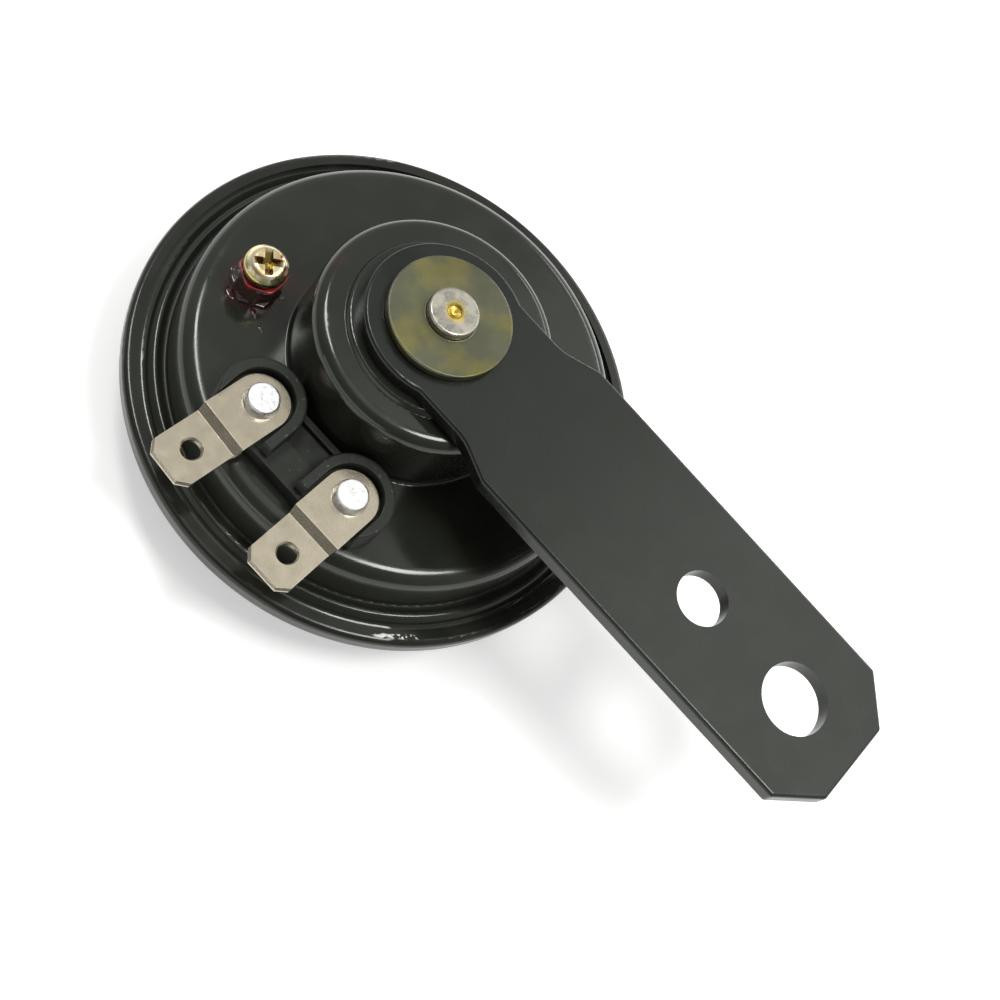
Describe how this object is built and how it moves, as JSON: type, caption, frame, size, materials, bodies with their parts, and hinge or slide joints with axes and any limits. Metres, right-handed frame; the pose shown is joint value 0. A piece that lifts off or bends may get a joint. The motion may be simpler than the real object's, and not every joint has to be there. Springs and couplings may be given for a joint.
{
  "type": "car horn",
  "caption": "Electric disc horn with a pressed round housing, rolled rim, flat steel mounting bracket, blade terminals on a moulded block and a sealed adjusting screw.",
  "frame": {"origin": "centre of the larger bracket hole at the bracket's back face", "axes": "+Z out of the horn's back along its axis and the bracket holes, +X along the bracket away from the horn, -Y towards the terminal blades' side"},
  "size_m": [0.0983, 0.064, 0.0314],
  "materials": {
    "cover_enamel": "gloss black stoving enamel",
    "ring_enamel": "gloss black enamel, slightly lumpy over the rolled edge",
    "front_enamel": "semi-gloss black enamel",
    "collar_enamel": "black enamel with red sealing lacquer on its upper edges",
    "bracket_paint": "satin black paint",
    "yellow_zinc": "yellow passivated zinc, mottled olive",
    "screw_zinc": "yellow passivated zinc, bright",
    "clear_zinc": "clear zinc",
    "turned_steel": "turned and riveted steel",
    "spring_steel": "rolled spring steel",
    "tinned_brass": "tin plate, warm silver",
    "rivet_aluminium": "cold-headed aluminium, slightly pitted",
    "block_plastic": "moulded phenolic, matte",
    "bobbin_plastic": "moulded nylon",
    "fibre_board": "punched insulating board",
    "copper_wire": "enamelled copper",
    "contact_tungsten": "ground tungsten",
    "gasket_sheet": "gasket sheet"
  },
  "bodies": {
    "root": {"back_cover": "cover_enamel", "clamp_ring": "ring_enamel", "rim_gasket": "gasket_sheet", "diaphragm": "spring_steel", "pole_core": "turned_steel", "coil_bobbin": "bobbin_plastic", "coil_winding": "copper_wire", "armature": "turned_steel", "mounting_bracket": "bracket_paint", "core_washer": "yellow_zinc", "tone_spacer": "clear_zinc", "tone_disc": "front_enamel", "spring_washer": "clear_zinc", "armature_nut": "clear_zinc", "terminal_block": "block_plastic", "inner_plate": "fibre_board", "terminal_blade_left": "tinned_brass", "terminal_blade_right": "tinned_brass", "terminal_rivet_left": "rivet_aluminium", "terminal_rivet_right": "rivet_aluminium", "contact_fixed_arm": "clear_zinc", "contact_spring_arm": "spring_steel", "contact_point_fixed": "contact_tungsten", "contact_point_moving": "contact_tungsten", "contact_spacer": "fibre_board", "striker_stud": "fibre_board", "lead_lug": "tinned_brass", "adjusting_collar": "collar_enamel", "adjusting_screw": "screw_zinc"}
  },
  "joints": []
}
